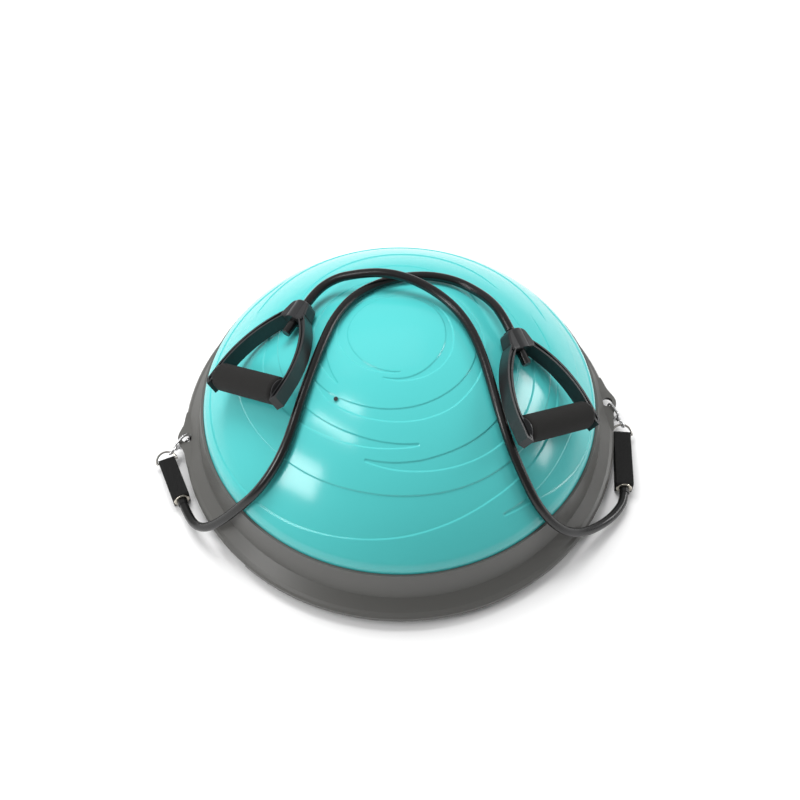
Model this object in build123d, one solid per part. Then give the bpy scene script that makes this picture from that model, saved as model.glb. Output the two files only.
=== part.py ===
from build123d import *

import math
import os

# Balance dome trainer: an inflated half ball clamped in a round plastic base,
# with two resistance tubes clipped to lugs on the base's left and right.
# Origin at the middle of the base's underside, +Z up, +X through the right lug, +Y to the back.
# Millimetres and degrees throughout.

# ---------------------------------------------------------------- driving dimensions
RIM_R = 300.0  # outer radius of the rim cover
RIM_TOP_Z = 77.0  # top edge of the rim cover, against the bladder
DOME_R = 266.5  # widest radius of the bladder
DOME_EDGE_Z = 74.0  # height of the bladder's widest circle
DOME_TOP_Z = 224.4  # top of the bladder
CROWN_R = 324.8  # radius of the bladder's upper arc
SKIN = 2.6  # thickness of the bladder's skin
FOOT_H = 5.0  # rubber feet, standing under the base plate
LUG_HOLE_R = 7.5
LUG_HOLE_AT = 296.0  # distance of each lug hole from the middle
LUG_R = 12.5
LUG_Z = 24.0  # middle of the lug's thickness
LUG_THICK = 5.0
LUG_TOP_Z = LUG_Z + LUG_THICK / 2
LUG_INNER = 284.5  # where the lug meets the rim
LUG_HALF = 46.0  # half its length along the rim
TUBE_R = 6.0  # resistance tube
STRAP_W = 23.0  # webbing width
GRIP_LENGTH = 110.0  # foam grip
GRIP_R = 18.0
HUB_Y = 116.0  # from the grip's axis to the middle of the handle's hub

# The upper arc and a smaller shoulder arc meet tangentially; the shoulder ends upright at DOME_R.
CROWN_Z = DOME_TOP_Z - CROWN_R
SHOULDER_R = (CROWN_R**2 - (DOME_EDGE_Z - CROWN_Z) ** 2 - DOME_R**2) / (2 * (CROWN_R - DOME_R))
SHOULDER_ANGLE = math.degrees(math.asin((DOME_R - SHOULDER_R) / (CROWN_R - SHOULDER_R)))

PARTS = {}


def polar(radius, angle):
    """A point at this radius and angle in the XY plane."""
    return (radius * math.cos(math.radians(angle)), radius * math.sin(math.radians(angle)))


def ring(inner, outer, low, high):
    """A flat-ended ring about Z."""
    height = high - low
    body = Cylinder(outer, height) - Cylinder(inner, height + 2)
    return Pos(0, 0, (low + high) / 2) * body


def disc(radius, low, high):
    """An upright cylinder between two heights."""
    return Pos(0, 0, (low + high) / 2) * Cylinder(radius, high - low)


def around(count, radius, shape, start=0.0):
    """Copies of a shape set evenly on a circle about Z, each turned to face outward."""
    step = 360.0 / count
    return [Rot(0, 0, start + i * step) * Pos(radius, 0, 0) * shape for i in range(count)]


def rod(start, end, radius):
    """A cylinder from one point to another."""
    start, end = Vector(*start), Vector(*end)
    axis = end - start
    plane = Plane(origin=(start + end) / 2, z_dir=axis)
    return plane * Cylinder(radius, axis.length)


def revolved(points):
    """A solid turned about Z from a closed outline of (radius, height) points."""
    outline = Plane.XZ * make_face(Polyline(*points, close=True))
    return revolve(outline, Axis.Z)


# ---------------------------------------------------------------- base
SCREWS = 12
SCREW_AT = 264.5
SCREW_R = 2.0
SCREW_HEAD_R = 4.0
PLATE_R = 295.0
PLATE_TOP_Z = 8.0
BOSS_TOP_Z = 40.0
CLAMP_TOP_Z = 46.0
BEAD_TOP_Z = 52.0
LEDGE_TOP_Z = 55.0
HAND_HOLD = 42.0  # each side, the rim's lip is cut away this far before and behind the lug


def sector(radius, start, end, low, high):
    """A slice of a disc between two angles, under 180 degrees apart."""
    middle = polar(radius * 1.2, (start + end) / 2)
    outline = Polyline((0, 0), polar(radius * 1.2, start), middle, polar(radius * 1.2, end), close=True)
    wedge = extrude(Pos(0, 0, low) * make_face(outline), high - low)
    return wedge & disc(radius, low, high)


def make_lower_base():
    base = disc(PLATE_R, FOOT_H, PLATE_TOP_Z)
    base += ring(280, 283, PLATE_TOP_Z, 27.2) + ring(236, 239, PLATE_TOP_Z, BOSS_TOP_Z)
    for radius in (90, 180, 262):
        base += ring(radius - 2, radius + 2, FOOT_H - 2.5, FOOT_H)
    rib = Pos(0, 0, FOOT_H - 1.25) * Box(200, 3, 2.5)
    for piece in around(12, 130, rib, 15):
        base += piece
    boss = disc(6, PLATE_TOP_Z, BOSS_TOP_Z)
    bore = disc(SCREW_R, 0, BOSS_TOP_Z + 1) + disc(SCREW_HEAD_R, 0, FOOT_H + 2.5)
    for piece in around(SCREWS, SCREW_AT, boss, 15):
        base += piece
    for piece in around(SCREWS, SCREW_AT, bore, 15):
        base -= piece
    return base


def make_rim_cover():
    """The wall against the bladder, a shallow crease and a flange with a turned-down lip."""
    cover = revolved([
        (DOME_R + 0.4, RIM_TOP_Z), (270.2, RIM_TOP_Z), (278.5, 36.0), (293.5, 23.5), (297.5, 21.8),
        (RIM_R, 18.5), (RIM_R, 12.0), (297.0, 12.0), (297.0, 17.0), (292.5, 20.3), (275.4, 34.6),
        (DOME_R + 0.4, RIM_TOP_Z - 4.5),
    ])
    cover += ring(261.0, 272.5, BEAD_TOP_Z, LEDGE_TOP_Z)
    boss = disc(4.5, BEAD_TOP_Z, LEDGE_TOP_Z + 7)
    for piece in around(SCREWS, SCREW_AT, boss, 15):
        cover += piece
    for middle in (0, 180):
        cover -= sector(RIM_R + 5, middle - HAND_HOLD, middle + HAND_HOLD, 5.0, 17.2)
        cover -= Rot(0, 0, middle) * lug_room()
        cover -= Rot(0, 0, middle) * Pos(LUG_INNER + 20, 0, LUG_TOP_Z / 2) * Box(40, 44, LUG_TOP_Z)
    for piece in around(SCREWS, SCREW_AT, disc(SCREW_R, 0, LEDGE_TOP_Z + 5), 15):
        cover -= piece
    return cover


def lug_room():
    """The space a lug takes in the flange, its top sloping down to the flange at both ends."""
    low, level = LUG_TOP_Z - LUG_THICK, 18.0
    outline = Polyline((-LUG_HALF, low), (LUG_HALF, low), (LUG_HALF, low + 0.6), (level, LUG_TOP_Z),
                       (-level, LUG_TOP_Z), (-LUG_HALF, low + 0.6), close=True)
    return extrude(Plane.YZ.offset(LUG_INNER) * make_face(outline), 40)


def make_lug(side):
    """A flat ear let into the flange, whose round end runs into the rim in a long smooth curve."""
    edge = math.sqrt(RIM_R**2 - LUG_HALF**2)
    flank = [(298.6, 34.0), (301.4, 20.0), (305.8, 10.5), (LUG_HOLE_AT + LUG_R, 0)]
    below = [(x, -y) for x, y in flank]
    rim_line = Spline((edge, -LUG_HALF), *below, *reversed(flank[:-1]), (edge, LUG_HALF))
    back = Polyline((edge, LUG_HALF), (LUG_INNER, LUG_HALF), (LUG_INNER, -LUG_HALF), (edge, -LUG_HALF))
    lug = extrude(Pos(0, 0, LUG_TOP_Z - LUG_THICK) * make_face(rim_line + back), LUG_THICK)
    lug = (lug & lug_room()) - Pos(LUG_HOLE_AT, 0, 0) * disc(LUG_HOLE_R, 0, 40)
    return lug if side > 0 else Rot(0, 0, 180) * lug


def make_clamp_ring():
    body = ring(252, 270.5, BOSS_TOP_Z, CLAMP_TOP_Z)
    for piece in around(SCREWS, SCREW_AT, disc(SCREW_R, 0, 60), 15):
        body -= piece
    return body


def make_base_screws():
    screw = disc(SCREW_R, FOOT_H + 2.5, LEDGE_TOP_Z + 5) + disc(SCREW_HEAD_R, FOOT_H + 0.2, FOOT_H + 2.5)
    screw -= Pos(0, 0, FOOT_H + 0.6) * Box(5.0, 1.0, 1.2)
    screw -= Pos(0, 0, FOOT_H + 0.6) * Box(1.0, 5.0, 1.2)
    return around(SCREWS, SCREW_AT, screw, 15)


def make_rubber_feet():
    foot = Pos(0, 0, FOOT_H / 2) * Cylinder(14, FOOT_H)
    foot = fillet(foot.edges().group_by(Axis.Z)[0], 1.0)
    return around(8, 222, foot, 22.5)


def make_centre_foot():
    foot = Pos(0, 0, FOOT_H / 2) * Cylinder(26, FOOT_H)
    return fillet(foot.edges().group_by(Axis.Z)[0], 1.0)


# ---------------------------------------------------------------- bladder and valve
VALVE_RADIUS = 119.7  # from the bladder's axis
VALVE_ANGLE = -137.4


def dome_section(inset):
    """Half outline of the dome, set in by a distance, as edges from the top to the widest circle."""
    crown, shoulder = CROWN_R - inset, SHOULDER_R - inset
    top = (0, CROWN_Z + crown)
    bend = math.radians(SHOULDER_ANGLE)
    join = (crown * math.sin(bend), CROWN_Z + crown * math.cos(bend))
    half = bend / 2
    middle = (crown * math.sin(half), CROWN_Z + crown * math.cos(half))
    centre = DOME_R - SHOULDER_R
    slope = (bend + math.pi / 2) / 2
    knee = (centre + shoulder * math.sin(slope), DOME_EDGE_Z + shoulder * math.cos(slope))
    edge = (DOME_R - inset, DOME_EDGE_Z)
    return [ThreePointArc(top, middle, join), ThreePointArc(join, knee, edge)]


def dome_point(radius, angle, out=0.0):
    """A point on the dome's upper arc, moved out along its normal, with that normal."""
    lean = math.asin(radius / CROWN_R)
    normal = Vector(*polar(math.sin(lean), angle), math.cos(lean))
    return Vector(0, 0, CROWN_Z) + normal * (CROWN_R + out), normal


def make_dome_bladder():
    outer = dome_section(0)
    inner = dome_section(SKIN)
    neck, bead_in, bead_out = 259.2, 254.0, 270.0
    foot = Polyline((DOME_R, DOME_EDGE_Z), (neck, 63), (neck, BEAD_TOP_Z), (bead_out, BEAD_TOP_Z),
                    (bead_out, CLAMP_TOP_Z), (bead_in, CLAMP_TOP_Z), (bead_in, BEAD_TOP_Z),
                    (neck - SKIN, BEAD_TOP_Z + 2), (neck - SKIN, 63.6), (DOME_R - SKIN, DOME_EDGE_Z))
    axis = Line((0, DOME_TOP_Z - SKIN), (0, DOME_TOP_Z))
    section = Plane.XZ * make_face(Curve() + outer + inner + [foot, axis])
    shell = revolve(section, Axis.Z)
    for piece in around(SCREWS, SCREW_AT, disc(SCREW_R, 0, 60), 15):
        shell -= piece
    point, normal = dome_point(VALVE_RADIUS, VALVE_ANGLE)
    return shell - rod(point - normal * 8, point + normal * 4, 3.4)


def make_bladder_floor():
    return disc(254, CLAMP_TOP_Z, CLAMP_TOP_Z + 2.4)


def make_valve():
    point, normal = dome_point(VALVE_RADIUS, VALVE_ANGLE)
    seat = rod(point - normal * 14, point, 3.4) + rod(point - normal * 5.2, point - normal * 3.0, 8.5)
    seat -= rod(point - normal * 15, point + normal, 1.9)
    plug = rod(point - normal * 12, point + normal * 0.3, 1.85)
    plug += rod(point + normal * 0.05, point + normal * 1.2, 2.7)
    return seat, plug


# ---------------------------------------------------------------- clip: hook, ring, strap
# Each hook is drawn with its nose arc about the origin, its long axis along +X, its gate below.
HOOK_WIRE_R = 1.8
HOOK_HALF = 7.0  # from the hook's long axis to its wire
BARREL = (15.5, 20.6)
EYE_AT = 27.0
EYE_R = 4.6
EYE_WIRE_R = 1.3
GATE_PIN = (12.3, -HOOK_HALF)
RING_WIRE_R = 1.5
RING_HALF = 13.9  # half the width of the D-ring, to its wire
RING_REACH = 14.0  # from the bar to the top of the bow
STRAP_LENGTH = {"right": 88.0, "left": 67.0}  # bar to grommet's face; the left one lies bunched up
STRAP_THIN = 4.0
STRAP_THICK = 11.0
WEBBING = 1.8
GROMMET_R = 7.8

# Where each clip lies: the hook's nose, the way the hook points and slopes, the strap's direction,
# and where on the ring's bow the eye sits, from its top.
CLIPS = {
    "right": {"nose": (297.6, -4.2, 25.6), "lead": (0.42, -0.9075), "drop": 15.0,
              "strap": (-0.18, -0.984), "bow_angle": 0.0},
    "left": {"nose": (-293.2, 1.0, 31.0), "lead": (-0.86, -0.5103), "drop": 30.0,
             "strap": (0.30, -0.954), "bow_angle": 45.0},
}
STRAP_Z = 11.6  # height of the strap's middle line


def hook_plane(side):
    """The hook's own frame: X along it and sloping down, Y up across it."""
    clip = CLIPS[side]
    drop = math.radians(clip["drop"])
    lead_x, lead_y = clip["lead"]
    along = Vector(lead_x * math.cos(drop), lead_y * math.cos(drop), -math.sin(drop))
    across = Vector(-lead_y, lead_x, 0)
    nose = Vector(*clip["nose"])
    return Plane(origin=nose + along * HOOK_HALF, x_dir=along, z_dir=across * -1)


def bow_point(angle):
    """A point of the ring's bow and the wire's direction there, in the ring's frame."""
    radius = (RING_HALF**2 + RING_REACH**2) / (2 * RING_REACH)
    turn = math.radians(angle)
    point = Vector(radius - RING_REACH - radius * math.cos(turn), radius * math.sin(turn), 0)
    return point, Vector(math.sin(turn), math.cos(turn), 0)


def strap_plane(side):
    """The strap's frame at the ring's bar, X along the strap, Z up, and the ring's tilt from it."""
    clip = CLIPS[side]
    eye = hook_plane(side).from_local_coords(Vector(EYE_AT + 0.6, 0, 0))
    along = Vector(*clip["strap"], 0)
    across = Vector(-along.Y, along.X, 0)
    grip, _ = bow_point(clip["bow_angle"])
    rise = math.asin((eye.Z - STRAP_Z) / -grip.X)
    flat = -grip.X * math.cos(rise)
    bar = Vector(eye.X, eye.Y, STRAP_Z) + along * flat - across * grip.Y
    return Plane(origin=bar, x_dir=along, z_dir=(0, 0, 1)), math.degrees(rise)


def ring_plane(side):
    strap, rise = strap_plane(side)
    return Plane(strap.location * Rot(0, rise, 0))


def eye_plane(side):
    """The hook's frame turned about its length so that the ring's wire runs straight through the eye."""
    hook = hook_plane(side)
    _, wire = bow_point(CLIPS[side]["bow_angle"])
    bow = ring_plane(side)
    wire = bow.x_dir * wire.X + bow.y_dir * wire.Y
    facing = wire - hook.x_dir * wire.dot(hook.x_dir)
    return Plane(origin=hook.origin, x_dir=hook.x_dir, z_dir=facing)


def make_hook():
    path = FilletPolyline((1.0, -HOOK_HALF), (-HOOK_HALF, -HOOK_HALF), (-HOOK_HALF, HOOK_HALF),
                          (12.5, HOOK_HALF), (18.0, 0.6), radius=[6.9, 6.9, 5.0])
    wire = sweep((path ^ 0) * Circle(HOOK_WIRE_R), path=path)
    low, high = BARREL
    barrel = rod((low, 0, 0), (high, 0, 0), 3.6)
    cheek = Pos(14.0, -5.4, 0) * Box(6.4, 7.6, 4.8)
    cheek = fillet(cheek.edges().filter_by(Axis.Z), 1.2)
    body = wire + barrel + cheek
    body -= Pos(12.0, -7.6, 0) * Box(6.0, 6.0, 2.8)
    body -= rod((low + 1.0, 0, 0), (low + 2.8, 0, 0), 2.6)
    body -= rod((low + 1.0, 0, 0), (high + 1, 0, 0), EYE_WIRE_R + 0.06)
    body -= rod((*GATE_PIN, -4), (*GATE_PIN, 4), 0.9)
    return body


def make_gate():
    x, y = GATE_PIN
    bar = Pos((1.5 + x) / 2, y, 0) * Box(x - 1.5, 2.6, 2.2) + Pos(x, y, 0) * Cylinder(1.9, 2.2)
    return bar - Pos(x, y, 0) * Cylinder(0.96, 4)


def make_gate_pin():
    return rod((*GATE_PIN, -2.9), (*GATE_PIN, 2.9), 0.9)


def make_swivel_eye():
    low = BARREL[0]
    bow = Pos(EYE_AT, 0, 0) * Torus(EYE_R, EYE_WIRE_R)
    shaft = rod((low + 1.6, 0, 0), (EYE_AT - EYE_R, 0, 0), EYE_WIRE_R)
    return bow + shaft + rod((low + 1.2, 0, 0), (low + 2.6, 0, 0), 2.4)


def make_ring():
    """A D-ring: a straight bar along Y with a bow that reaches toward -X."""
    corners = [(0, -RING_HALF, 0), (0, RING_HALF, 0)]
    bow = ThreePointArc(corners[0], (-RING_REACH, 0, 0), corners[1])
    body = sweep((bow ^ 0) * Circle(RING_WIRE_R), path=bow) + rod(*corners, RING_WIRE_R)
    for corner in corners:
        body += Pos(*corner) * Sphere(RING_WIRE_R)
    return body


def strap_outline(length, inset):
    """Side view of the webbing loop: round at the ring, widening to a flat end at the grommet."""
    thin, thick, end = STRAP_THIN - inset, STRAP_THICK - inset, length - inset
    body = make_face(Polyline((0, -thin), (end, -thick), (end, thick), (0, thin), close=True))
    body = fillet(body.vertices().group_by(Axis.X)[-1], 2.4 - inset)
    return body + Circle(thin)


def make_strap(length):
    loop = Plane.XZ * (strap_outline(length, 0) - strap_outline(length, WEBBING))
    strap = extrude(loop, STRAP_W / 2, both=True)
    return strap - rod((length - 6, 0, 0), (length + 2, 0, 0), GROMMET_R)


def make_grommet(length):
    inner = length - WEBBING
    body = rod((inner - 1.0, 0, 0), (inner, 0, 0), GROMMET_R + 0.7)
    body += rod((inner, 0, 0), (length, 0, 0), GROMMET_R)
    lip = rod((length, 0, 0), (length + 1.6, 0, 0), 10.8)
    lip = fillet(lip.edges().group_by(Axis.X)[-1], 1.2)
    return body + lip - rod((inner - 2, 0, 0), (length + 3, 0, 0), 7.2)


def make_anchor(length):
    """The plug in the tube's end, too big to follow the tube through the grommet."""
    end = length - WEBBING - 1.0
    return rod((end - 6, 0, 0), (end, 0, 0), 8.3) + rod((end - 13, 0, 0), (end - 6, 0, 0), 6.0)


def make_cuff(length):
    """A short sleeve over the tube where it leaves the grommet."""
    start = length - WEBBING
    sleeve = rod((start, 0, 0), (start + 11, 0, 0), 6.95)
    sleeve = chamfer(sleeve.edges().group_by(Axis.X)[-1], 0.5)
    return sleeve - rod((start - 1, 0, 0), (start + 15, 0, 0), TUBE_R)


# ---------------------------------------------------------------- handles
# Each handle is drawn with its grip along X, its hub toward +Y and the dome below -Z.
HUB_LENGTH = 28.0
HUB_R = 10.5
HUB_BARREL_R = 13.2  # the rounder side that faces away from the dome
ARM_DEPTH = 20.0
CORE_R = 12.0
ARM_INNER_X = GRIP_LENGTH / 2 + 2.0
ARM_OUTER_X = ARM_INNER_X + 7.4
STUB_END_Y = 84.0

HANDLES = {
    "left": {"grip": (-192.9, -39.6, 191.1), "hub": (-126.4, 48.9, 209.6), "out": (-0.42, 0.16, 0.89)},
    "right": {"grip": (181.0, -123.9, 173.0), "hub": (146.5, -21.6, 205.0), "out": (0.476, -0.09, 0.875)},
}


def handle_plane(side):
    pose = HANDLES[side]
    grip, hub, out = Vector(*pose["grip"]), Vector(*pose["hub"]), Vector(*pose["out"])
    toward_hub = (hub - grip).normalized()
    along_grip = toward_hub.cross(out).normalized()
    return Plane(origin=grip, x_dir=along_grip, z_dir=along_grip.cross(toward_hub))


def arm_outline(inset):
    """One arm seen from above, from the hub out to the pointed corner past the grip."""
    x = ARM_INNER_X + inset
    edge = ARM_OUTER_X - inset
    outer = ThreePointArc((19 - inset, 110), (49 - inset, 70 - inset), (edge, 12))
    inner = ThreePointArc((x, 18), (43 + inset, 64 + inset), (13, 104 + inset))
    tip = Polyline((edge, 12), (edge + 1, -13 + inset), (x + 2 - inset, -20 + 2 * inset),
                   (x, -14 + inset), (x, 18))
    return make_face(Curve() + [outer, tip, inner, Line((13, 104 + inset), (19 - inset, 110))])


def make_hub():
    """A bell seen from above, with a round boss for the tube and a barrel on its outer side."""
    front, back = HUB_Y - HUB_LENGTH / 2, HUB_Y + HUB_LENGTH / 2
    shoulder = front + 9
    bell = make_face(Polyline((-20, front), (-19.5, shoulder), (-14, back), (14, back), (19.5, shoulder),
                              (20, front), close=True))
    bell = fillet(bell.vertices().group_by(Axis.Y)[-1], 9.0)
    slab = extrude(bell, ARM_DEPTH / 2 + 0.5, both=True)
    slab = fillet(slab.faces().filter_by(Axis.Z).edges(), 2.5)
    boss = rod((0, front, 0), (0, back, 0), HUB_R)
    barrel = rod((0, front, 0), (0, back, 0), HUB_BARREL_R)
    barrel = fillet(barrel.edges().group_by(Axis.Y)[-1], 2.5)
    outside = Pos(0, HUB_Y, HUB_BARREL_R) * Box(4 * HUB_BARREL_R, 2 * HUB_LENGTH, 2 * HUB_BARREL_R)
    return slab + boss + (barrel & outside)


def make_handle_frame():
    """Two channelled arms that meet in the hub."""
    arm = extrude(arm_outline(0), ARM_DEPTH / 2, both=True)
    groove = extrude(arm_outline(2.3), 3.0)
    for face in (ARM_DEPTH / 2 - 2.5, -ARM_DEPTH / 2 - 0.5):
        arm -= Pos(0, 0, face) * groove
    frame = make_hub() + arm + mirror(arm, Plane.YZ)
    return frame - rod((0, HUB_Y - 30, 0), (0, HUB_Y + 30, 0), TUBE_R)


def make_grip_core():
    return rod((-ARM_INNER_X, 0, 0), (ARM_INNER_X, 0, 0), CORE_R) - rod((-90, 0, 0), (90, 0, 0), 9.0)


def make_foam_grip():
    half = GRIP_LENGTH / 2
    foam = rod((-half, 0, 0), (half, 0, 0), GRIP_R)
    foam = fillet(foam.edges(), 5.0)
    return foam - rod((-90, 0, 0), (90, 0, 0), CORE_R + 0.08)


def make_grip_washers():
    washer = rod((ARM_INNER_X - 1.5, 0, 0), (ARM_INNER_X, 0, 0), 15.5) - rod((40, 0, 0), (90, 0, 0), CORE_R)
    return [washer, mirror(washer, Plane.YZ)]


def make_tube_end():
    """The last of the tube, through the hub, and the stopper that holds it there."""
    top = HUB_Y + HUB_LENGTH / 2
    tail = rod((0, STUB_END_Y, 0), (0, top, 0), TUBE_R) - rod((0, STUB_END_Y - 1, 0), (0, top - 8, 0), 3.2)
    stopper = rod((0, STUB_END_Y, 0), (0, STUB_END_Y + 16, 0), 3.2)
    stopper += rod((0, STUB_END_Y - 1.6, 0), (0, STUB_END_Y, 0), 5.6)
    return tail, stopper


# ---------------------------------------------------------------- resistance tubes
# Each route starts at the grommet's end of a strap and ends just short of the far handle's hub.
# The left strap's tube passes under the right strap's tube behind the top of the dome.
ROUTES = {
    "left": [(-288, -135, 17), (-270, -150, 33), (-246, -156, 60), (-222, -157.5, 90), (-198, -156.5, 119),
             (-174, -143, 145.5), (-155, -122.5, 168), (-141, -96, 185.5), (-127.5, -66.5, 200),
             (-113.5, -36, 210), (-98.5, -4, 217), (-81, 32, 220.5), (-55, 64, 221.5), (-21, 84, 220.5),
             (17, 94, 218.5), (53, 95, 214.5), (84, 86, 210.5), (105.5, 68, 210.5), (122.5, 45, 214)],
    "right": [(275, -171, 13.5), (256, -187, 18), (232, -203, 30), (209, -214, 45), (186, -219, 66),
              (165, -214, 91), (147, -202, 119), (131.5, -178, 149.5), (119.5, -150, 172),
              (111.5, -118, 190.5), (105.5, -85, 204), (100.5, -52, 213), (94, -20, 219), (84, 10, 222.5),
              (68, 37, 226.5), (43, 60, 233), (13, 77, 238.5), (-18, 87, 238.5), (-47, 92, 232.5),
              (-74, 95, 224.5)],
}
FAR_HANDLE = {"left": "right", "right": "left"}
HUB_GAP = 0.4


def tube_route(side):
    """The whole route: out of the strap, over the dome and straight at the far handle's hub."""
    plane, _ = strap_plane(side)
    start = plane.from_local_coords(Vector(STRAP_LENGTH[side] - WEBBING - 1.0, 0, 0))
    leave = plane.from_local_coords(Vector(STRAP_LENGTH[side] + 18, 0, 0))
    hub = handle_plane(FAR_HANDLE[side])
    reach = HUB_Y + HUB_LENGTH / 2 + HUB_GAP
    end = hub.from_local_coords(Vector(0, reach, 0))
    come = hub.from_local_coords(Vector(0, reach + 25, 0))
    return [start, leave] + [Vector(*point) for point in ROUTES[side]] + [come, end]


def bend_radii(points):
    """The largest arc at each corner that its two runs allow."""
    radii = []
    for before, at, after in zip(points, points[1:], points[2:]):
        turn = (at - before).get_angle(after - at)
        run = min((at - before).length, (after - at).length)
        radii.append(0.45 * run / math.tan(math.radians(turn) / 2))
    return radii


def make_tube(side):
    points = tube_route(side)
    radii = bend_radii(points)
    path = FilletPolyline(*points, radius=radii)
    tube = sweep((path ^ 0) * Circle(TUBE_R), path=path)
    expected = math.pi * TUBE_R**2 * path.length
    print(f"tube_{side}: length {path.length:.0f}, volume ratio {tube.volume / expected:.4f}")
    print("  radii", [round(radius) for radius in radii])
    print("  runs", [round((b - a).length) for a, b in zip(points, points[1:])])
    return tube


# ---------------------------------------------------------------- put together
def place(plane, shape):
    """The shape, or each of a list of shapes, moved into a frame."""
    if isinstance(shape, list):
        return [plane * piece for piece in shape]
    return plane * shape


def add_base():
    PARTS["lower_base"] = make_lower_base()
    PARTS["rim_cover"] = make_rim_cover()
    PARTS["side_lug_right"] = make_lug(1)
    PARTS["side_lug_left"] = make_lug(-1)
    PARTS["clamp_ring"] = make_clamp_ring()
    PARTS["base_screws"] = make_base_screws()
    PARTS["rubber_feet"] = make_rubber_feet()
    PARTS["centre_foot"] = make_centre_foot()
    PARTS["dome_bladder"] = make_dome_bladder()
    PARTS["bladder_floor"] = make_bladder_floor()
    PARTS["valve_seat"], PARTS["valve_plug"] = make_valve()


def add_clip(side):
    hook = hook_plane(side)
    strap, _ = strap_plane(side)
    length = STRAP_LENGTH[side]
    PARTS[f"snap_hook_{side}"] = place(hook, make_hook())
    PARTS[f"hook_gate_{side}"] = place(hook, make_gate())
    PARTS[f"gate_pin_{side}"] = place(hook, make_gate_pin())
    PARTS[f"swivel_eye_{side}"] = place(eye_plane(side), make_swivel_eye())
    PARTS[f"d_ring_{side}"] = place(ring_plane(side), make_ring())
    PARTS[f"webbing_strap_{side}"] = place(strap, make_strap(length))
    PARTS[f"grommet_{side}"] = place(strap, make_grommet(length))
    PARTS[f"tube_anchor_{side}"] = place(strap, make_anchor(length))
    PARTS[f"tube_cuff_{side}"] = place(strap, make_cuff(length))
    PARTS[f"resistance_tube_{side}"] = make_tube(side)


def add_handle(side):
    plane = handle_plane(side)
    PARTS[f"handle_frame_{side}"] = place(plane, make_handle_frame())
    PARTS[f"grip_core_{side}"] = place(plane, make_grip_core())
    PARTS[f"foam_grip_{side}"] = place(plane, make_foam_grip())
    PARTS[f"grip_washers_{side}"] = place(plane, make_grip_washers())
    tail, stopper = make_tube_end()
    PARTS[f"tube_tail_{side}"] = place(plane, tail)
    PARTS[f"tube_stopper_{side}"] = place(plane, stopper)


def report_frames():
    """Print the joint axes and key points, which the record repeats."""
    for side in ("left", "right"):
        hook = hook_plane(side)
        strap, rise = strap_plane(side)
        handle = handle_plane(side)
        print(side, "hook origin", hook.origin, "along", hook.x_dir, "gate axis", hook.z_dir)
        print(side, "gate pin", hook.from_local_coords(Vector(*GATE_PIN, 0)))
        print(side, "ring bar", strap.origin, "axis", strap.y_dir, "rise", rise)
        print(side, "grommet face", strap.from_local_coords(Vector(STRAP_LENGTH[side], 0, 0)))
        print(side, "handle origin", handle.origin, "grip axis", handle.x_dir, "out", handle.z_dir)
    point, normal = dome_point(VALVE_RADIUS, VALVE_ANGLE)
    print("valve", point, "normal", normal)
    print("shoulder radius", SHOULDER_R, "angle", SHOULDER_ANGLE)


def main():
    add_base()
    for side in ("left", "right"):
        add_clip(side)
        add_handle(side)
    report_frames()
    os.makedirs("parts", exist_ok=True)
    for name, shape in PARTS.items():
        solid = Compound(children=shape) if isinstance(shape, list) else shape
        export_step(solid, f"parts/{name}.step")


main()
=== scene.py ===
import math

import bpy
import numpy as np
from mathutils import Matrix, Vector


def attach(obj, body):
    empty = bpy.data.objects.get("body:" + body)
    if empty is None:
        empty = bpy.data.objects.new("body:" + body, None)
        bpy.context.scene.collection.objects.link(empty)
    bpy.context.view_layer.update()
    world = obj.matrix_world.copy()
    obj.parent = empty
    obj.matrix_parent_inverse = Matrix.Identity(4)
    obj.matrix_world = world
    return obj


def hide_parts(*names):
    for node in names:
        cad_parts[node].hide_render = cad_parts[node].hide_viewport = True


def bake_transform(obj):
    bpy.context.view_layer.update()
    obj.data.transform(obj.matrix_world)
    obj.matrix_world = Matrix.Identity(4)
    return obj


# Balance dome trainer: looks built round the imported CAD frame. Metres, +Z up, +Y to the back.

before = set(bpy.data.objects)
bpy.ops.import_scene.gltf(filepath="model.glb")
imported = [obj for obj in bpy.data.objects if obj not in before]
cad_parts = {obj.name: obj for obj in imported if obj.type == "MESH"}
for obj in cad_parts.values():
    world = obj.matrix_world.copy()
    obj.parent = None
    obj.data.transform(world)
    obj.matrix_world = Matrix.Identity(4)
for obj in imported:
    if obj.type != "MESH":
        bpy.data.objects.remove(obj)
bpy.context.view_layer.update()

SIDES = ("left", "right")
DOME_R = 0.2665  # widest radius of the dome
DOME_EDGE_Z = 0.074
DOME_TOP_Z = 0.2244
CROWN_R = 0.3248
TUBE_R = 0.006


# ---------------------------------------------------------------- materials
def shader_material(name, colour, roughness, **inputs):
    """A Principled material; keyword names are socket names with underscores for spaces."""
    made = bpy.data.materials.new(name)
    made.use_nodes = True
    shader = made.node_tree.nodes["Principled BSDF"]
    shader.inputs["Base Color"].default_value = (*colour, 1.0)
    shader.inputs["Roughness"].default_value = roughness
    for key, value in inputs.items():
        shader.inputs[key.replace("_", " ")].default_value = value
    return made


def add_noise_bump(made, scale, strength, distance, detail=3.0):
    """Fine surface grain from object coordinates."""
    nodes, links = made.node_tree.nodes, made.node_tree.links
    place = nodes.new("ShaderNodeTexCoord")
    noise = nodes.new("ShaderNodeTexNoise")
    bump = nodes.new("ShaderNodeBump")
    noise.inputs["Scale"].default_value = scale
    noise.inputs["Detail"].default_value = detail
    bump.inputs["Strength"].default_value = strength
    bump.inputs["Distance"].default_value = distance
    links.new(place.outputs["Object"], noise.inputs["Vector"])
    links.new(noise.outputs["Fac"], bump.inputs["Height"])
    links.new(bump.outputs["Normal"], nodes["Principled BSDF"].inputs["Normal"])


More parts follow.
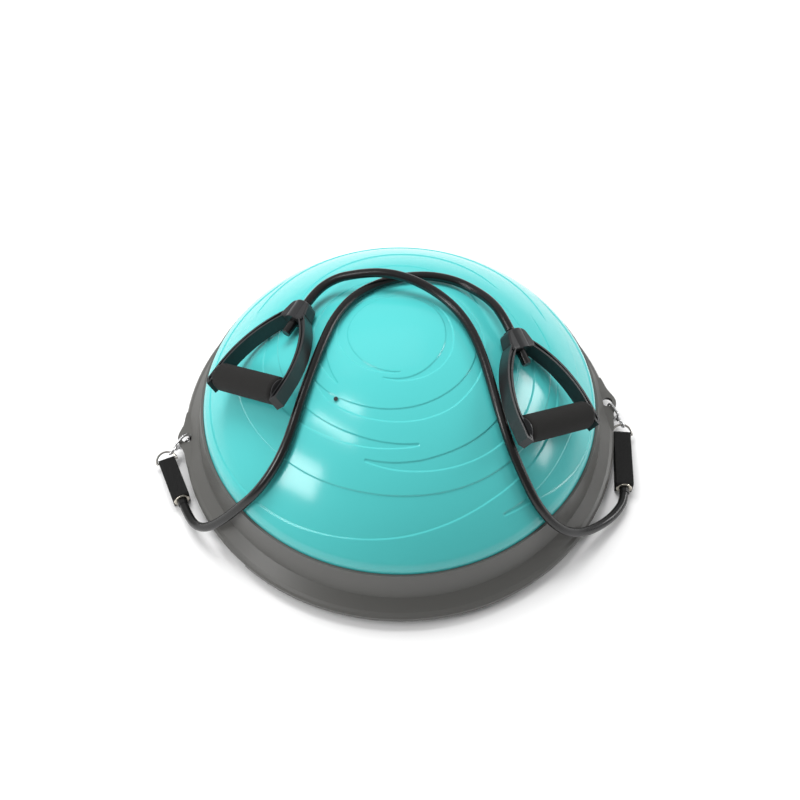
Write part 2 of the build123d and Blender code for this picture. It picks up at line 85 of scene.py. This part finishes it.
def add_weave_bump(made, pitch, depth):
    """Ribs of webbing: two crossed waves in object coordinates."""
    nodes, links = made.node_tree.nodes, made.node_tree.links
    place = nodes.new("ShaderNodeTexCoord")
    bump = nodes.new("ShaderNodeBump")
    bump.inputs["Strength"].default_value = 1.0
    bump.inputs["Distance"].default_value = depth
    product = nodes.new("ShaderNodeMath")
    product.operation = "MULTIPLY"
    for slot, direction in enumerate(("X", "Y")):
        wave = nodes.new("ShaderNodeTexWave")
        wave.bands_direction = direction
        wave.inputs["Scale"].default_value = 0.314 / pitch
        wave.inputs["Distortion"].default_value = 0.4
        links.new(place.outputs["Object"], wave.inputs["Vector"])
        links.new(wave.outputs["Fac"], product.inputs[slot])
    links.new(product.outputs["Value"], bump.inputs["Height"])
    links.new(bump.outputs["Normal"], nodes["Principled BSDF"].inputs["Normal"])


TEAL = shader_material("teal_vinyl", (0.078, 0.53, 0.525), 0.16)
RIM = shader_material("rim_grey", (0.098, 0.097, 0.091), 0.38)
BASE = shader_material("base_grey", (0.035, 0.035, 0.034), 0.55)
FOOT = shader_material("foot_rubber", (0.02, 0.02, 0.02), 0.8)
STEEL = shader_material("screw_steel", (0.45, 0.45, 0.45), 0.35, Metallic=1.0)
VALVE = shader_material("valve_black", (0.01, 0.01, 0.01), 0.45)
CHROME = shader_material("hook_chrome", (0.82, 0.82, 0.83), 0.08, Metallic=1.0)
NICKEL = shader_material("ring_nickel", (0.62, 0.60, 0.56), 0.2, Metallic=1.0)
GROMMET = shader_material("grommet_metal", (0.62, 0.58, 0.5), 0.22, Metallic=1.0)
WEBBING = shader_material("webbing_black", (0.008, 0.008, 0.008), 0.8)
LATEX = shader_material("tube_latex", (0.006, 0.006, 0.006), 0.25)
ABS = shader_material("handle_abs", (0.019, 0.0195, 0.0205), 0.36)
FOAM = shader_material("grip_foam", (0.013, 0.0125, 0.0118), 0.95)
add_noise_bump(RIM, 2600, 0.12, 0.0002)
add_noise_bump(ABS, 2200, 0.12, 0.0002)
add_noise_bump(FOAM, 1500, 0.5, 0.0004, 5.0)
add_weave_bump(WEBBING, 0.0016, 0.0007)

NODE_LOOKS = {
    "lower_base": BASE, "rim_cover": RIM, "side_lug": RIM, "clamp_ring": BASE,
    "base_screws": STEEL, "rubber_feet": FOOT, "centre_foot": FOOT,
    "bladder_floor": TEAL, "valve_seat": TEAL, "valve_plug": VALVE,
    "snap_hook": CHROME, "hook_gate": CHROME, "gate_pin": STEEL,
    "swivel_eye": CHROME, "d_ring": NICKEL, "webbing_strap": WEBBING, "grommet": GROMMET,
    "tube_anchor": LATEX, "tube_cuff": LATEX, "handle_frame": ABS, "grip_core": ABS,
    "foam_grip": FOAM, "grip_washers": ABS, "tube_tail": LATEX, "tube_stopper": ABS,
}


def dress_cad_nodes():
    """Each CAD node that stays in view takes its finish."""
    for name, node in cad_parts.items():
        look = NODE_LOOKS.get(name.replace("_left", "").replace("_right", ""))
        if look is None:
            continue
        for slot in node.material_slots:
            slot.material = look


# ---------------------------------------------------------------- mesh helpers
def new_mesh(name, points, faces, look):
    """A smooth-shaded mesh piece with its material."""
    mesh = bpy.data.meshes.new(name)
    mesh.from_pydata([tuple(point) for point in points], [], faces)
    mesh.polygons.foreach_set("use_smooth", [True] * len(mesh.polygons))
    mesh.materials.append(look)
    piece = bpy.data.objects.new(name, mesh)
    bpy.context.scene.collection.objects.link(piece)
    return piece


def ring_faces(rows, columns):
    """Quads between rings of points, each ring's last point joined to its first, facing outward."""
    faces = []
    for row in range(rows - 1):
        for column in range(columns):
            beside = (column + 1) % columns
            faces.append(((row + 1) * columns + column, (row + 1) * columns + beside,
                          row * columns + beside, row * columns + column))
    return faces


# ---------------------------------------------------------------- dome
# Shallow moulded crescents, each as (angle, inner radius, outer radius) in degrees and millimetres.
# Angles run counterclockwise from the right, so the front is at -90.
CRESCENTS = [
    [(-275, 61, 61), (-230, 63, 75), (-186, 66, 81), (-150, 63, 73), (-120, 61, 66), (-95, 59.6, 61.8)],
    [(-114, 70, 72.4), (-90, 68, 73), (-50, 60, 72), (-10, 57, 68), (40, 59, 66), (85, 61, 61)],
    [(-280, 97, 97), (-240, 95, 107), (-200, 92, 112), (-170, 96, 109), (-144, 103, 106)],
    [(-159, 122, 122.6), (-143, 118, 127), (-124, 112, 125), (-105, 108, 123.5), (-87, 105, 123),
     (-66, 102, 121), (-45, 100, 116), (-21, 98, 111), (10, 96, 104), (40, 97, 97)],
    [(-215, 163, 163), (-180, 156, 178), (-148, 149, 168), (-132, 146, 161), (-117, 145, 157),
     (-103, 146, 154), (-87, 147.8, 151.4)],
    [(-111, 167, 170.8), (-102, 167, 174.3), (-90, 166, 177.6), (-78, 164, 180.5), (-59, 162, 183),
     (-30, 156, 180), (0, 151, 168), (35, 150, 150)],
    [(-235, 234, 234), (-205, 218, 250), (-172, 212, 256), (-151, 206, 256), (-127, 202, 251),
     (-111, 200, 245), (-96, 200, 239), (-82, 201, 232), (-67, 202, 225), (-45, 201, 219),
     (-15, 196, 208), (20, 190, 190)],
    [(-64, 239.8, 243.2), (-54, 240, 247), (-45, 239, 254), (-33, 237, 261), (-15, 237, 262),
     (10, 240, 258), (35, 247, 247)],
    [(22, 118, 118), (50, 116, 130), (80, 119, 136), (110, 124, 138), (140, 131, 131)],
    [(30, 172, 172), (60, 171, 180), (90, 163, 178), (120, 156, 168), (150, 152, 152)],
    [(15, 214, 214), (45, 208, 226), (80, 205, 232), (110, 207, 230), (150, 216, 216)],
]
GROOVE_DEPTH = 0.0011
GROOVE_EDGE = 0.0012  # width of a crescent's sloping edge
RINGS = 420
SPOKES = 960
# Radius and height of the rings that carry the skin down inside the rim.
SKIRT = [(0.2635, 0.0665), (0.2605, 0.061), (0.2594, 0.053)]


def crescent_depth(angle, radius):
    """How far the surface is pressed in, in metres, at arrays of angle in degrees and radius."""
    pressed = np.zeros_like(radius)
    for crescent in CRESCENTS:
        stations, inner, outer = (np.array(column, float) for column in zip(*crescent))
        for turn in (-360, 0, 360):
            turned = angle + turn
            within = (turned > stations[0]) & (turned < stations[-1])
            across = np.minimum(radius - smooth_line(turned, stations, inner) / 1000,
                                smooth_line(turned, stations, outer) / 1000 - radius)
            along = radius * np.radians(np.minimum(turned - stations[0], stations[-1] - turned))
            depth_in = np.minimum(across, along)
            step = np.clip(depth_in / GROOVE_EDGE, 0, 1)
            groove = GROOVE_DEPTH * step * step * (3 - 2 * step)
            pressed = np.maximum(pressed, np.where(within, groove, 0))
    return pressed


def smooth_line(at, stations, values):
    """A smooth curve through the values: cubic between stations, with slopes from their neighbours."""
    slopes = np.gradient(values, stations)
    index = np.clip(np.searchsorted(stations, at) - 1, 0, len(stations) - 2)
    gap = stations[index + 1] - stations[index]
    t = np.clip((at - stations[index]) / gap, 0, 1)
    start, end = values[index], values[index + 1]
    rise, fall = slopes[index] * gap, slopes[index + 1] * gap
    return ((2 * t**3 - 3 * t**2 + 1) * start + (t**3 - 2 * t**2 + t) * rise
            + (3 * t**2 - 2 * t**3) * end + (t**3 - t**2) * fall)


def dome_profile():
    """Radius, height and outward normal down the dome, from near the top to the widest circle."""
    crown_z = DOME_TOP_Z - CROWN_R
    shoulder_r = (CROWN_R**2 - (DOME_EDGE_Z - crown_z)**2 - DOME_R**2) / (2 * (CROWN_R - DOME_R))
    bend = math.asin((DOME_R - shoulder_r) / (CROWN_R - shoulder_r))
    crown_length, shoulder_length = CROWN_R * bend, shoulder_r * (math.pi / 2 - bend)
    rows = []
    for step in range(1, RINGS + 1):
        along = (crown_length + shoulder_length) * step / RINGS
        if along < crown_length:
            lean = along / CROWN_R
            centre, radius, height = 0.0, CROWN_R, crown_z
        else:
            lean = bend + (along - crown_length) / shoulder_r
            centre, radius, height = DOME_R - shoulder_r, shoulder_r, DOME_EDGE_Z
        rows.append((centre + radius * math.sin(lean), height + radius * math.cos(lean),
                     math.sin(lean), math.cos(lean)))
    return np.array(rows)


def make_dome():
    """The inflated vinyl with its pressed crescents, running down inside the rim."""
    profile = dome_profile()
    angles = np.linspace(-180, 180, SPOKES, endpoint=False)
    turn = np.radians(angles)
    angle_grid, radius_grid = np.meshgrid(angles, profile[:, 0])
    pressed = crescent_depth(angle_grid, radius_grid)
    radius = radius_grid - pressed * profile[:, 2:3]
    height = profile[:, 1:2] - pressed * profile[:, 3:4]
    for skirt_radius, skirt_z in SKIRT:
        radius = np.vstack([radius, np.full((1, SPOKES), skirt_radius)])
        height = np.vstack([height, np.full((1, SPOKES), skirt_z)])
    rows = radius.shape[0]
    points = np.stack([radius * np.cos(turn), radius * np.sin(turn), height], axis=-1).reshape(-1, 3)
    points = np.vstack([points, [[0, 0, DOME_TOP_Z]]])
    faces = ring_faces(rows, SPOKES)
    top = len(points) - 1
    faces += [(top, spoke, (spoke + 1) % SPOKES) for spoke in range(SPOKES)]
    dome = new_mesh("dome_skin", points, faces, TEAL)
    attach(dome, "base")
    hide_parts("dome_bladder")


# ---------------------------------------------------------------- resistance tubes
# Points down each tube, from inside the strap's end to the far handle's hub, in millimetres.
TUBE_ROUTES = {
    "left": [(-306.2, -87.7, 11.6), (-299.9, -107.6, 11.6), (-288, -135, 17), (-270, -150, 33),
             (-246, -156, 60), (-222, -157.5, 90), (-198, -156.5, 119), (-174, -143, 145.5),
             (-155, -122.5, 168), (-141, -96, 185.5), (-127.5, -66.5, 200), (-113.5, -36, 210),
             (-98.5, -4, 217), (-81, 32, 220.5), (-55, 64, 221.5), (-21, 84, 220.5), (17, 94, 218.5),
             (53, 95, 214.5), (84, 86, 210.5), (105.5, 68, 210.5), (122.5, 45, 214),
             (133.4, 17.3, 217.1), (141.1, -5.5, 210)],
    "right": [(294, -131.2, 11.6), (290.2, -151.7, 11.6), (275, -171, 13.5), (256, -187, 18),
              (232, -203, 30), (209, -214, 45), (186, -219, 66), (165, -214, 91), (147, -202, 119),
              (131.5, -178, 149.5), (119.5, -150, 172), (111.5, -118, 190.5), (105.5, -85, 204),
              (100.5, -52, 213), (94, -20, 219), (84, 10, 222.5), (68, 37, 226.5), (43, 60, 233),
              (13, 77, 238.5), (-18, 87, 238.5), (-47, 92, 232.5), (-74, 95, 224.5),
              (-100.8, 82.9, 216.7), (-115.6, 63.2, 212.6)],
}
TUBE_SIDES = 24
SPLINE_STEPS = 12  # points read off each span of a route's spline


def spline_points(name, route):
    """Points read from the route's NURBS spline."""
    curve = bpy.data.curves.new(name, "CURVE")
    curve.dimensions = "3D"
    curve.resolution_u = SPLINE_STEPS
    spline = curve.splines.new("NURBS")
    spline.points.add(len(route) - 1)
    for point, place in zip(spline.points, route):
        point.co = (place[0] / 1000, place[1] / 1000, place[2] / 1000, 1.0)
    spline.order_u = 3
    spline.use_endpoint_u = True
    holder = bpy.data.objects.new(name, curve)
    bpy.context.scene.collection.objects.link(holder)
    line = bpy.data.meshes.new_from_object(holder)
    points = [vertex.co.copy() for vertex in line.vertices]
    bpy.data.objects.remove(holder)
    bpy.data.curves.remove(curve)
    bpy.data.meshes.remove(line)
    return points


def make_tube_mesh(side):
    """A tube swept along its route without twist, closed at both ends."""
    path = spline_points(f"route_{side}", TUBE_ROUTES[side])
    rings = []
    across = None
    for index, point in enumerate(path):
        ahead = path[min(index + 1, len(path) - 1)] - path[max(index - 1, 0)]
        ahead.normalize()
        if across is None:
            across = ahead.orthogonal().normalized()
        across = (across - ahead * across.dot(ahead)).normalized()
        up = ahead.cross(across)
        for step in range(TUBE_SIDES):
            turn = 2 * math.pi * step / TUBE_SIDES
            rings.append(point + (across * math.cos(turn) + up * math.sin(turn)) * TUBE_R)
    faces = ring_faces(len(path), TUBE_SIDES)
    last = len(rings) - TUBE_SIDES
    faces.append(tuple(range(TUBE_SIDES)))
    faces.append(tuple(reversed(range(last, last + TUBE_SIDES))))
    tube = new_mesh(f"tube_{side}", rings, faces, LATEX)
    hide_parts(f"resistance_tube_{side}")
    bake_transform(tube)


# ---------------------------------------------------------------- floor, light, camera
WINDOW_FAR = 1.8  # from the dome to each softbox
# Softboxes that show in the gloss: where on the dome, toward which side, which way the long edge
# runs, long and short edges, and power.
WINDOWS = {
    "window_left": ((-0.141, -0.153, 0.149), (-0.80, -0.31, 0.52), (0.54, -0.77, 0.33),
                    (0.70, 0.56), 11.5),
    "window_high": ((-0.071, -0.093, 0.202), (-0.39, 0.04, 0.92), (0.62, -0.73, 0.27),
                    (0.44, 0.13), 1.9),
    "window_long": ((-0.094, -0.115, 0.188), (-0.54, -0.10, 0.84), (0.61, -0.75, 0.27),
                    (0.84, 0.15), 4.0),
    "window_right": ((0.154, -0.084, 0.173), (0.88, 0.18, 0.44), (-0.08, -0.90, 0.44),
                     (0.72, 0.38), 8.0),
    "window_low": ((0.168, -0.144, 0.137), (0.96, -0.14, 0.26), (-0.21, -0.97, 0.11),
                   (0.34, 0.22), 1.8),
}
OVERHEAD_PLACE = (-0.3, 1.3, 2.6)
OVERHEAD_AIM = (0.0, 0.0, 0.1)
OVERHEAD_SIZE = (2.0, 1.2)
OVERHEAD_POWER = 70
FRONT_GLOW = 0.24  # the studio walls are dimmer behind the camera than behind the dome
BACK_GLOW = 0.60
GLOW_SPAN = 0.9  # how far along Y, of a unit direction, the glow changes to each side
FLOOR_HALF = 6.0


def area_light(name, place, aim, long_way, size, power):
    """A rectangular light aimed at a point, with its long edge turned as near to long_way as can be."""
    data = bpy.data.lights.new(name, "AREA")
    data.shape = "RECTANGLE"
    data.size, data.size_y = size
    data.energy = power
    lamp = bpy.data.objects.new(name, data)
    back = (Vector(place) - Vector(aim)).normalized()
    short_way = back.cross(Vector(long_way)).normalized()
    turn = Matrix((short_way.cross(back), short_way, back)).transposed().to_4x4()
    lamp.matrix_world = Matrix.Translation(Vector(place)) @ turn
    bpy.context.scene.collection.objects.link(lamp)
    return lamp


def make_world():
    """Even studio walls that brighten from front to back."""
    world = bpy.data.worlds.new("studio")
    world.use_nodes = True
    nodes, links = world.node_tree.nodes, world.node_tree.links
    nodes["Background"].inputs["Color"].default_value = (1.0, 1.0, 1.0, 1.0)
    direction = nodes.new("ShaderNodeTexCoord")
    split = nodes.new("ShaderNodeSeparateXYZ")
    glow = nodes.new("ShaderNodeMapRange")
    glow.inputs["From Min"].default_value = -GLOW_SPAN
    glow.inputs["From Max"].default_value = GLOW_SPAN
    glow.inputs["To Min"].default_value = FRONT_GLOW
    glow.inputs["To Max"].default_value = BACK_GLOW
    links.new(direction.outputs["Generated"], split.inputs["Vector"])
    links.new(split.outputs["Y"], glow.inputs["Value"])
    links.new(glow.outputs["Result"], nodes["Background"].inputs["Strength"])
    bpy.context.scene.world = world


def make_stage():
    """The white floor, the softboxes and the overhead light, which the gloss doesn't show."""
    half = FLOOR_HALF
    corners = [(-half, -half, 0), (half, -half, 0), (half, half, 0), (-half, half, 0)]
    white = shader_material("floor_white", (0.93, 0.93, 0.93), 0.6)
    floor = new_mesh("floor", corners, [(0, 1, 2, 3)], white)
    for name, (spot, toward, long_way, size, power) in WINDOWS.items():
        spot, toward = Vector(spot), Vector(toward).normalized()
        area_light(name, spot + toward * WINDOW_FAR, spot, long_way, size, power)
    overhead = area_light("overhead", OVERHEAD_PLACE, OVERHEAD_AIM, (1, 0, 0), OVERHEAD_SIZE, OVERHEAD_POWER)
    overhead.visible_glossy = False


CAMERA_FAR = 1.6186  # from the middle of the base's underside
CAMERA_FORWARD = (0.0632, 0.5549, -0.8295)
CAMERA_ROLL = -0.0086  # radians
CAMERA_LENS = 51.29
CAMERA_SHIFT = (0.0007, 0.03755)


def make_camera():
    """The photograph's viewpoint: from above and in front, a little to the left."""
    forward = Vector(CAMERA_FORWARD).normalized()
    side_way = forward.cross(Vector((0, 0, 1))).normalized()
    up_way = side_way.cross(forward)
    right = side_way * math.cos(CAMERA_ROLL) - up_way * math.sin(CAMERA_ROLL)
    up = side_way * math.sin(CAMERA_ROLL) + up_way * math.cos(CAMERA_ROLL)
    data = bpy.data.cameras.new("camera")
    data.lens = CAMERA_LENS
    data.sensor_width = 36.0
    data.shift_x, data.shift_y = CAMERA_SHIFT
    camera = bpy.data.objects.new("camera", data)
    turn = Matrix((right, up, -forward)).transposed().to_4x4()
    camera.matrix_world = Matrix.Translation(forward * -CAMERA_FAR) @ turn
    bpy.context.scene.collection.objects.link(camera)
    bpy.context.scene.camera = camera


dress_cad_nodes()
make_dome()
for side in SIDES:
    make_tube_mesh(side)
make_world()
make_stage()
make_camera()
bpy.context.scene.view_settings.view_transform = "Standard"
